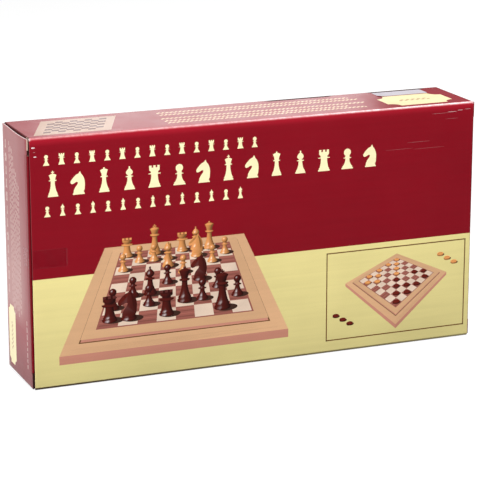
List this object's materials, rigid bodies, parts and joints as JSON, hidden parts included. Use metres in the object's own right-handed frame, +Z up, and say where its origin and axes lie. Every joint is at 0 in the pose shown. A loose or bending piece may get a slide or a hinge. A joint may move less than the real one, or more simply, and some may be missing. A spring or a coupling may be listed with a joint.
{
  "type": "chess and checkers set",
  "caption": "Boxed chess and checkers set: tuck-end printed carton standing on its long side, holding a folded hinged wooden board case with its chessmen and checkers.",
  "frame": {"origin": "middle of the carton's base, on the surface that it stands on", "axes": "+X along the carton's length to its right end, +Y from the printed front to the back, +Z up"},
  "size_m": [0.3931, 0.0701, 0.2066],
  "materials": {
    "printed_board": "fluted board with a glossy red and cream print, plain kraft inside",
    "label_paper": "matt white paper",
    "clear_tape": "clear glossy tape",
    "case_wood": "stained and lacquered hardwood",
    "plywood": "plain plywood",
    "light_veneer": "lacquered light veneer",
    "dark_veneer": "lacquered dark veneer",
    "border_veneer": "lacquered veneer",
    "lining_foam": "flocked foam",
    "brass_fittings": "pressed brass",
    "light_men_wood": "turned and lacquered light wood",
    "dark_men_wood": "turned and lacquered dark wood"
  },
  "bodies": {
    "carton_and_contents": {"back_dark_squares": "dark_veneer", "back_deck": "plywood", "back_field_border": "border_veneer", "back_field_panel": "plywood", "back_foam_pad": "lining_foam", "back_hinge_leaves": "brass_fittings", "back_left_rail": "case_wood", "back_light_squares": "light_veneer", "back_outer_rail": "case_wood", "back_right_rail": "case_wood", "back_spine_rail": "case_wood", "carton_sleeve": "printed_board", "clasp_pivot_screws": "brass_fittings", "clasp_studs": "brass_fittings", "dark_bishops": "dark_men_wood", "dark_checkers": "dark_men_wood", "dark_king": "dark_men_wood", "dark_knights": "dark_men_wood", "dark_pawns": "dark_men_wood", "dark_queen": "dark_men_wood", "dark_rooks": "dark_men_wood", "front_dark_squares": "dark_veneer", "front_deck": "plywood", "front_field_border": "border_veneer", "front_field_panel": "plywood", "front_foam_pad": "lining_foam", "front_hinge_leaves": "brass_fittings", "front_left_rail": "case_wood", "front_light_squares": "light_veneer", "front_outer_rail": "case_wood", "front_right_rail": "case_wood", "front_spine_rail": "case_wood", "hinge_pins": "brass_fittings", "hinge_screws": "brass_fittings", "lane_dividers": "plywood", "light_bishops": "light_men_wood", "light_checkers": "light_men_wood", "light_king": "light_men_wood", "light_knights": "light_men_wood", "light_pawns": "light_men_wood", "light_queen": "light_men_wood", "light_rooks": "light_men_wood", "price_label": "label_paper", "seal_tape_on_front": "clear_tape"},
    "left_end_flap": {"left_end_flap": "printed_board", "seal_tape_on_flap": "clear_tape"},
    "left_tuck_tab": {"left_tuck_tab": "printed_board"},
    "left_upper_dust_flap": {"left_upper_dust_flap": "printed_board"},
    "left_lower_dust_flap": {"left_lower_dust_flap": "printed_board"},
    "left_clasp_hook": {"left_clasp_hook": "brass_fittings"},
    "right_end_flap": {"right_end_flap": "printed_board"},
    "right_tuck_tab": {"right_tuck_tab": "printed_board"},
    "right_upper_dust_flap": {"right_upper_dust_flap": "printed_board"},
    "right_lower_dust_flap": {"right_lower_dust_flap": "printed_board"},
    "right_clasp_hook": {"right_clasp_hook": "brass_fittings"}
  },
  "joints": [
    {"name": "left_flap_hinge", "type": "hinge", "parent": "carton_and_contents", "child": "left_end_flap", "pos_m": [-0.1957, 0.03423, 0.10325], "axis": [0, 0, -1], "range_deg": [0, 175]},
    {"name": "left_tab_fold", "type": "hinge", "parent": "left_end_flap", "child": "left_tuck_tab", "pos_m": [-0.1957, -0.03193, 0.10325], "axis": [0, 0, 1], "range_deg": [0, 44]},
    {"name": "left_upper_dust_fold", "type": "hinge", "parent": "carton_and_contents", "child": "left_upper_dust_flap", "pos_m": [-0.1938, 0, 0.2057], "axis": [0, 1, 0], "range_deg": [0, 88]},
    {"name": "left_lower_dust_fold", "type": "hinge", "parent": "carton_and_contents", "child": "left_lower_dust_flap", "pos_m": [-0.1938, 0, 0.0008], "axis": [0, -1, 0], "range_deg": [0, 88]},
    {"name": "left_clasp_swing", "type": "hinge", "parent": "carton_and_contents", "child": "left_clasp_hook", "pos_m": [-0.1, -0.00497, 0.1968], "axis": [0, 0, 1], "range_deg": [0, 90]},
    {"name": "right_flap_hinge", "type": "hinge", "parent": "carton_and_contents", "child": "right_end_flap", "pos_m": [0.1957, 0.03423, 0.10325], "axis": [0, 0, 1], "range_deg": [0, 175]},
    {"name": "right_tab_fold", "type": "hinge", "parent": "right_end_flap", "child": "right_tuck_tab", "pos_m": [0.1957, -0.03193, 0.10325], "axis": [0, 0, -1], "range_deg": [0, 44]},
    {"name": "right_upper_dust_fold", "type": "hinge", "parent": "carton_and_contents", "child": "right_upper_dust_flap", "pos_m": [0.1938, 0, 0.2057], "axis": [0, -1, 0], "range_deg": [0, 88]},
    {"name": "right_lower_dust_fold", "type": "hinge", "parent": "carton_and_contents", "child": "right_lower_dust_flap", "pos_m": [0.1938, 0, 0.0008], "axis": [0, 1, 0], "range_deg": [0, 88]},
    {"name": "right_clasp_swing", "type": "hinge", "parent": "carton_and_contents", "child": "right_clasp_hook", "pos_m": [0.1, -0.00497, 0.1968], "axis": [0, 0, -1], "range_deg": [0, 90]}
  ],
  "couplings": [
    {"joint": "left_upper_dust_fold", "follows": "left_flap_hinge", "ratio": 0.5},
    {"joint": "left_lower_dust_fold", "follows": "left_flap_hinge", "ratio": 0.5},
    {"joint": "left_tab_fold", "follows": "left_flap_hinge", "ratio": 0.25},
    {"joint": "right_upper_dust_fold", "follows": "right_flap_hinge", "ratio": 0.5},
    {"joint": "right_lower_dust_fold", "follows": "right_flap_hinge", "ratio": 0.5},
    {"joint": "right_tab_fold", "follows": "right_flap_hinge", "ratio": 0.25}
  ]
}
